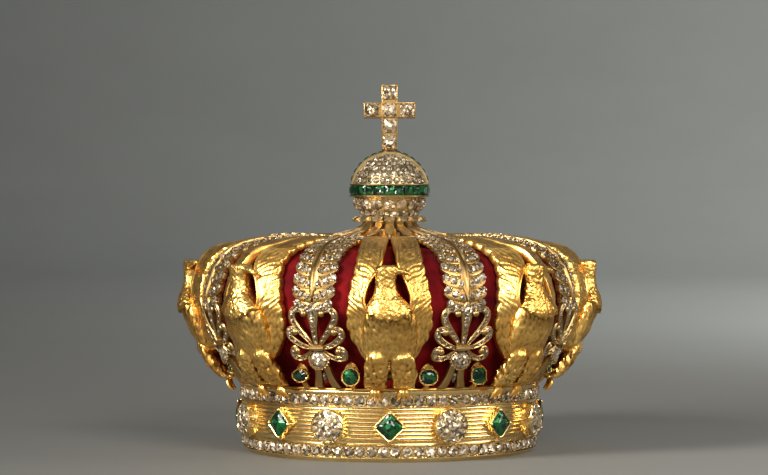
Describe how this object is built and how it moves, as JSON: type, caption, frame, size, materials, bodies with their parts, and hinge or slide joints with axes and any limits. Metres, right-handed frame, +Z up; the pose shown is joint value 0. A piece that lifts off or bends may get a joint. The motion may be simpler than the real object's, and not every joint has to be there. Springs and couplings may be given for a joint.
{
  "type": "arched crown",
  "caption": "Gold crown with a ribbed circlet set with emeralds and diamonds, eagles and palm arches round a velvet cap, and a globe with a cross on top.",
  "frame": {"origin": "on the table, under the middle of the circlet", "axes": "+Z up along the crown's axis, -Y towards the front eagle, +X to the wearer's left when seen from the front"},
  "size_m": [0.1488, 0.1488, 0.13],
  "materials": {
    "gold": "polished and chased gold",
    "diamond": "cut and polished",
    "emerald": "cut and polished",
    "velvet": "crimson velvet"
  },
  "bodies": {
    "root": {"circlet": "gold", "rim_setting": "gold", "collar": "gold", "globe": "gold", "cross": "gold", "eagle_1": "gold", "palmette_1": "gold", "eagle_2": "gold", "palmette_2": "gold", "eagle_3": "gold", "palmette_3": "gold", "eagle_4": "gold", "palmette_4": "gold", "eagle_5": "gold", "palmette_5": "gold", "eagle_6": "gold", "palmette_6": "gold", "eagle_7": "gold", "palmette_7": "gold", "eagle_8": "gold", "palmette_8": "gold", "lower_diamonds": "diamond", "upper_diamonds": "diamond", "palmette_diamonds": "diamond", "globe_diamonds": "diamond", "cross_diamonds": "diamond", "diamond_cluster_1": "diamond", "diamond_cluster_2": "diamond", "diamond_cluster_3": "diamond", "diamond_cluster_4": "diamond", "diamond_cluster_5": "diamond", "diamond_cluster_6": "diamond", "diamond_cluster_7": "diamond", "diamond_cluster_8": "diamond", "globe_emerald_band": "emerald", "band_emerald_1": "emerald", "band_emerald_2": "emerald", "band_emerald_3": "emerald", "band_emerald_4": "emerald", "band_emerald_5": "emerald", "band_emerald_6": "emerald", "band_emerald_7": "emerald", "band_emerald_8": "emerald", "collet_emerald_1": "emerald", "collet_emerald_2": "emerald", "collet_emerald_3": "emerald", "collet_emerald_4": "emerald", "collet_emerald_5": "emerald", "collet_emerald_6": "emerald", "collet_emerald_7": "emerald", "collet_emerald_8": "emerald", "collet_emerald_9": "emerald", "collet_emerald_10": "emerald", "collet_emerald_11": "emerald", "collet_emerald_12": "emerald", "collet_emerald_13": "emerald", "collet_emerald_14": "emerald", "collet_emerald_15": "emerald", "collet_emerald_16": "emerald", "velvet_cap": "velvet"}
  },
  "joints": []
}
